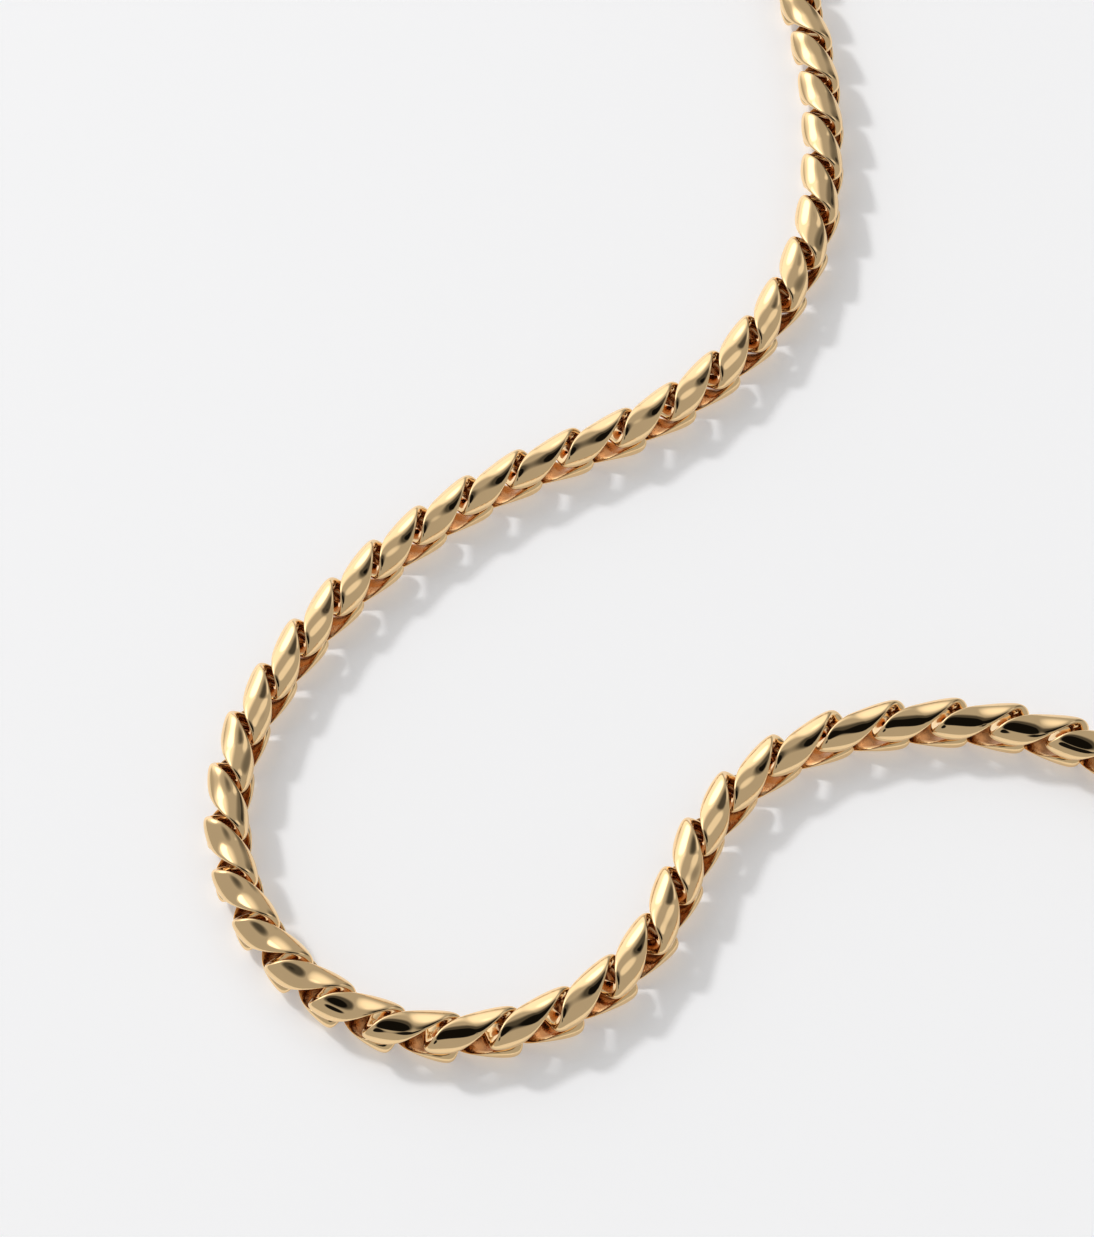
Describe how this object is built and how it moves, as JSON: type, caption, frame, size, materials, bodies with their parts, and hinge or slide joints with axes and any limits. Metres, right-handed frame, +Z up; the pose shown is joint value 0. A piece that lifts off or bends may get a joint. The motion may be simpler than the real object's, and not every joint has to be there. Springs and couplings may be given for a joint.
{
  "type": "chain necklace",
  "caption": "Open curb chain necklace of sculpted, twisted links lying flat in a loose S, with a jump ring and end tag at one end and a lobster clasp at the other.",
  "frame": {"origin": "middle of the footprint, on the surface the chain lies on", "axes": "+X to the right and +Y away from the viewer over the surface, +Z up; the end tag points along +Y and the clasp along -Y"},
  "size_m": [0.1482, 0.2446, 0.0069],
  "materials": {
    "gold": "mirror-polished yellow gold plating",
    "spring_steel": "bright drawn steel"
  },
  "bodies": {
    "link_01": {"link_01": "gold"},
    "link_02": {"link_02": "gold"},
    "link_03": {"link_03": "gold"},
    "link_04": {"link_04": "gold"},
    "link_05": {"link_05": "gold"},
    "link_06": {"link_06": "gold"},
    "link_07": {"link_07": "gold"},
    "link_08": {"link_08": "gold"},
    "link_09": {"link_09": "gold"},
    "link_10": {"link_10": "gold"},
    "link_11": {"link_11": "gold"},
    "link_12": {"link_12": "gold"},
    "link_13": {"link_13": "gold"},
    "link_14": {"link_14": "gold"},
    "link_15": {"link_15": "gold"},
    "link_16": {"link_16": "gold"},
    "link_17": {"link_17": "gold"},
    "link_18": {"link_18": "gold"},
    "link_19": {"link_19": "gold"},
    "link_20": {"link_20": "gold"},
    "link_21": {"link_21": "gold"},
    "link_22": {"link_22": "gold"},
    "link_23": {"link_23": "gold"},
    "link_24": {"link_24": "gold"},
    "link_25": {"link_25": "gold"},
    "link_26": {"link_26": "gold"},
    "link_27": {"link_27": "gold"},
    "link_28": {"link_28": "gold"},
    "link_29": {"link_29": "gold"},
    "link_30": {"link_30": "gold"},
    "link_31": {"link_31": "gold"},
    "link_32": {"link_32": "gold"},
    "link_33": {"link_33": "gold"},
    "link_34": {"link_34": "gold"},
    "link_35": {"link_35": "gold"},
    "link_36": {"link_36": "gold"},
    "link_37": {"link_37": "gold"},
    "link_38": {"link_38": "gold"},
    "link_39": {"link_39": "gold"},
    "link_40": {"link_40": "gold"},
    "link_41": {"link_41": "gold"},
    "link_42": {"link_42": "gold"},
    "link_43": {"link_43": "gold"},
    "link_44": {"link_44": "gold"},
    "link_45": {"link_45": "gold"},
    "link_46": {"link_46": "gold"},
    "link_47": {"link_47": "gold"},
    "link_48": {"link_48": "gold"},
    "link_49": {"link_49": "gold"},
    "link_50": {"link_50": "gold"},
    "jump_ring_tag": {"jump_ring_tag": "gold"},
    "end_tag": {"end_tag": "gold"},
    "jump_ring_clasp": {"jump_ring_clasp": "gold"},
    "clasp_body": {"clasp_body": "gold", "clasp_rivet": "gold", "clasp_spring": "spring_steel"},
    "clasp_lever": {"clasp_lever": "gold"}
  },
  "joints": [
    {"name": "link_01_to_02", "type": "hinge", "parent": "link_02", "child": "link_01", "pos_m": [0.03809, 0.10125, 0.00315], "axis": [0, 0, 1], "range_deg": [-24, 24]},
    {"name": "link_02_to_03", "type": "hinge", "parent": "link_03", "child": "link_02", "pos_m": [0.03809, 0.09285, 0.00315], "axis": [0, 0, -1], "range_deg": [-24, 24]},
    {"name": "link_03_to_04", "type": "hinge", "parent": "link_04", "child": "link_03", "pos_m": [0.03809, 0.08445, 0.00315], "axis": [0, 0, 1], "range_deg": [-24, 24]},
    {"name": "link_04_to_05", "type": "hinge", "parent": "link_05", "child": "link_04", "pos_m": [0.03809, 0.07605, 0.00315], "axis": [0, 0, -1], "range_deg": [-24, 24]},
    {"name": "link_05_to_06", "type": "hinge", "parent": "link_06", "child": "link_05", "pos_m": [0.03809, 0.06765, 0.00315], "axis": [0, 0, 1], "range_deg": [-28, 20]},
    {"name": "link_06_to_07", "type": "hinge", "parent": "link_07", "child": "link_06", "pos_m": [0.0375, 0.05927, 0.00315], "axis": [0, 0, -1], "range_deg": [-20, 28]},
    {"name": "link_07_to_08", "type": "hinge", "parent": "link_08", "child": "link_07", "pos_m": [0.03633, 0.05096, 0.00315], "axis": [0, 0, 1], "range_deg": [-28, 20]},
    {"name": "link_08_to_09", "type": "hinge", "parent": "link_09", "child": "link_08", "pos_m": [0.03459, 0.04274, 0.00315], "axis": [0, 0, -1], "range_deg": [-20, 28]},
    {"name": "link_09_to_10", "type": "hinge", "parent": "link_10", "child": "link_09", "pos_m": [0.03227, 0.03467, 0.00315], "axis": [0, 0, 1], "range_deg": [-33, 15]},
    {"name": "link_10_to_11", "type": "hinge", "parent": "link_11", "child": "link_10", "pos_m": [0.02872, 0.02705, 0.00315], "axis": [0, 0, -1], "range_deg": [-15, 33]},
    {"name": "link_11_to_12", "type": "hinge", "parent": "link_12", "child": "link_11", "pos_m": [0.02402, 0.02009, 0.00315], "axis": [0, 0, 1], "range_deg": [-33, 15]},
    {"name": "link_12_to_13", "type": "hinge", "parent": "link_13", "child": "link_12", "pos_m": [0.01829, 0.01394, 0.00315], "axis": [0, 0, -1], "range_deg": [-15, 33]},
    {"name": "link_13_to_14", "type": "hinge", "parent": "link_14", "child": "link_13", "pos_m": [0.01168, 0.00877, 0.00315], "axis": [0, 0, 1], "range_deg": [-33, 15]},
    {"name": "link_14_to_15", "type": "hinge", "parent": "link_15", "child": "link_14", "pos_m": [0.00433, 0.0047, 0.00315], "axis": [0, 0, -1], "range_deg": [-15, 33]},
    {"name": "link_15_to_16", "type": "hinge", "parent": "link_16", "child": "link_15", "pos_m": [-0.00357, 0.00183, 0.00315], "axis": [0, 0, 1], "range_deg": [-33, 15]},
    {"name": "link_16_to_17", "type": "hinge", "parent": "link_17", "child": "link_16", "pos_m": [-0.01181, 0.00023, 0.00315], "axis": [0, 0, -1], "range_deg": [-26, 22]},
    {"name": "link_17_to_18", "type": "hinge", "parent": "link_18", "child": "link_17", "pos_m": [-0.02, -0.00166, 0.00315], "axis": [0, 0, 1], "range_deg": [-18, 30]},
    {"name": "link_18_to_19", "type": "hinge", "parent": "link_19", "child": "link_18", "pos_m": [-0.02794, -0.0044, 0.00315], "axis": [0, 0, -1], "range_deg": [-30, 18]},
    {"name": "link_19_to_20", "type": "hinge", "parent": "link_20", "child": "link_19", "pos_m": [-0.03555, -0.00795, 0.00315], "axis": [0, 0, 1], "range_deg": [-18, 30]},
    {"name": "link_20_to_21", "type": "hinge", "parent": "link_21", "child": "link_20", "pos_m": [-0.04275, -0.01228, 0.00315], "axis": [0, 0, -1], "range_deg": [-30, 18]},
    {"name": "link_21_to_22", "type": "hinge", "parent": "link_22", "child": "link_21", "pos_m": [-0.04946, -0.01733, 0.00315], "axis": [0, 0, 1], "range_deg": [-18, 30]},
    {"name": "link_22_to_23", "type": "hinge", "parent": "link_23", "child": "link_22", "pos_m": [-0.0556, -0.02306, 0.00315], "axis": [0, 0, -1], "range_deg": [-30, 18]},
    {"name": "link_23_to_24", "type": "hinge", "parent": "link_24", "child": "link_23", "pos_m": [-0.06111, -0.0294, 0.00315], "axis": [0, 0, 1], "range_deg": [-18, 30]},
    {"name": "link_24_to_25", "type": "hinge", "parent": "link_25", "child": "link_24", "pos_m": [-0.06593, -0.03628, 0.00315], "axis": [0, 0, -1], "range_deg": [-36, 12]},
    {"name": "link_25_to_26", "type": "hinge", "parent": "link_26", "child": "link_25", "pos_m": [-0.06921, -0.04401, 0.00315], "axis": [0, 0, 1], "range_deg": [-12, 36]},
    {"name": "link_26_to_27", "type": "hinge", "parent": "link_26", "child": "link_27", "pos_m": [-0.07082, -0.05226, 0.00315], "axis": [0, 0, 1], "range_deg": [-36, 12]},
    {"name": "link_27_to_28", "type": "hinge", "parent": "link_27", "child": "link_28", "pos_m": [-0.07067, -0.06066, 0.00315], "axis": [0, 0, -1], "range_deg": [-12, 36]},
    {"name": "link_28_to_29", "type": "hinge", "parent": "link_28", "child": "link_29", "pos_m": [-0.06878, -0.06884, 0.00315], "axis": [0, 0, 1], "range_deg": [-36, 12]},
    {"name": "link_29_to_30", "type": "hinge", "parent": "link_29", "child": "link_30", "pos_m": [-0.06523, -0.07645, 0.00315], "axis": [0, 0, -1], "range_deg": [-12, 36]},
    {"name": "link_30_to_31", "type": "hinge", "parent": "link_30", "child": "link_31", "pos_m": [-0.06018, -0.08316, 0.00315], "axis": [0, 0, 1], "range_deg": [-36, 12]},
    {"name": "link_31_to_32", "type": "hinge", "parent": "link_31", "child": "link_32", "pos_m": [-0.05384, -0.08867, 0.00315], "axis": [0, 0, -1], "range_deg": [-8, 40]},
    {"name": "link_32_to_33", "type": "hinge", "parent": "link_32", "child": "link_33", "pos_m": [-0.04622, -0.09222, 0.00315], "axis": [0, 0, 1], "range_deg": [-40, 8]},
    {"name": "link_33_to_34", "type": "hinge", "parent": "link_33", "child": "link_34", "pos_m": [-0.03793, -0.09354, 0.00315], "axis": [0, 0, -1], "range_deg": [-8, 40]},
    {"name": "link_34_to_35", "type": "hinge", "parent": "link_34", "child": "link_35", "pos_m": [-0.02959, -0.09251, 0.00315], "axis": [0, 0, 1], "range_deg": [-40, 8]},
    {"name": "link_35_to_36", "type": "hinge", "parent": "link_35", "child": "link_36", "pos_m": [-0.02186, -0.08923, 0.00315], "axis": [0, 0, -1], "range_deg": [-8, 40]},
    {"name": "link_36_to_37", "type": "hinge", "parent": "link_36", "child": "link_37", "pos_m": [-0.01533, -0.08395, 0.00315], "axis": [0, 0, 1], "range_deg": [-40, 8]},
    {"name": "link_37_to_38", "type": "hinge", "parent": "link_37", "child": "link_38", "pos_m": [-0.01051, -0.07706, 0.00315], "axis": [0, 0, -1], "range_deg": [-21, 27]},
    {"name": "link_38_to_39", "type": "hinge", "parent": "link_38", "child": "link_39", "pos_m": [-0.00606, -0.06994, 0.00315], "axis": [0, 0, 1], "range_deg": [-12, 36]},
    {"name": "link_39_to_40", "type": "hinge", "parent": "link_39", "child": "link_40", "pos_m": [-0.00022, -0.0639, 0.00315], "axis": [0, 0, -1], "range_deg": [-40, 8]},
    {"name": "link_40_to_41", "type": "hinge", "parent": "link_40", "child": "link_41", "pos_m": [0.00705, -0.0597, 0.00315], "axis": [0, 0, 1], "range_deg": [-8, 40]},
    {"name": "link_41_to_42", "type": "hinge", "parent": "link_41", "child": "link_42", "pos_m": [0.0152, -0.05767, 0.00315], "axis": [0, 0, -1], "range_deg": [-40, 8]},
    {"name": "link_42_to_43", "type": "hinge", "parent": "link_42", "child": "link_43", "pos_m": [0.0236, -0.05796, 0.00315], "axis": [0, 0, 1], "range_deg": [-15, 33]},
    {"name": "link_43_to_44", "type": "hinge", "parent": "link_43", "child": "link_44", "pos_m": [0.03184, -0.05956, 0.00315], "axis": [0, 0, -1], "range_deg": [-33, 15]},
    {"name": "link_44_to_45", "type": "hinge", "parent": "link_44", "child": "link_45", "pos_m": [0.03973, -0.06244, 0.00315], "axis": [0, 0, 1], "range_deg": [-15, 33]},
    {"name": "link_45_to_46", "type": "hinge", "parent": "link_45", "child": "link_46", "pos_m": [0.04708, -0.06651, 0.00315], "axis": [0, 0, -1], "range_deg": [-33, 15]},
    {"name": "link_46_to_47", "type": "hinge", "parent": "link_46", "child": "link_47", "pos_m": [0.0537, -0.07168, 0.00315], "axis": [0, 0, 1], "range_deg": [-15, 33]},
    {"name": "link_47_to_48", "type": "hinge", "parent": "link_47", "child": "link_48", "pos_m": [0.05943, -0.07782, 0.00315], "axis": [0, 0, -1], "range_deg": [-35, 13]},
    {"name": "link_48_to_49", "type": "hinge", "parent": "link_48", "child": "link_49", "pos_m": [0.06388, -0.08495, 0.00315], "axis": [0, 0, 1], "range_deg": [-13, 35]},
    {"name": "link_49_to_50", "type": "hinge", "parent": "link_49", "child": "link_50", "pos_m": [0.06689, -0.09279, 0.00315], "axis": [0, 0, -1], "range_deg": [-35, 13]},
    {"name": "jump_ring_tag_turn", "type": "hinge", "parent": "link_01", "child": "jump_ring_tag", "pos_m": [0.03809, 0.10965, 0.00315], "axis": [0, 0, 1], "range_deg": [-20, 20]},
    {"name": "tag_turn", "type": "hinge", "parent": "jump_ring_tag", "child": "end_tag", "pos_m": [0.03809, 0.11494, 0.00225], "axis": [0, 0, -1], "range_deg": [-20, 20]},
    {"name": "jump_ring_clasp_turn", "type": "hinge", "parent": "link_50", "child": "jump_ring_clasp", "pos_m": [0.06835, -0.10106, 0.00315], "axis": [0, 0, 1], "range_deg": [-15, 25]},
    {"name": "clasp_turn", "type": "hinge", "parent": "jump_ring_clasp", "child": "clasp_body", "pos_m": [0.06881, -0.10626, 0.0021], "axis": [0, 0, -1], "range_deg": [-25, 15]},
    {"name": "clasp_lever_press", "type": "hinge", "parent": "clasp_body", "child": "clasp_lever", "pos_m": [0.0685, -0.11081, 0.0021], "axis": [0, 0, 1], "range_deg": [0, 18], "stiffness_Nm_per_rad": 0.012, "springref_deg": -20.05, "deforming": ["clasp_spring"]}
  ]
}
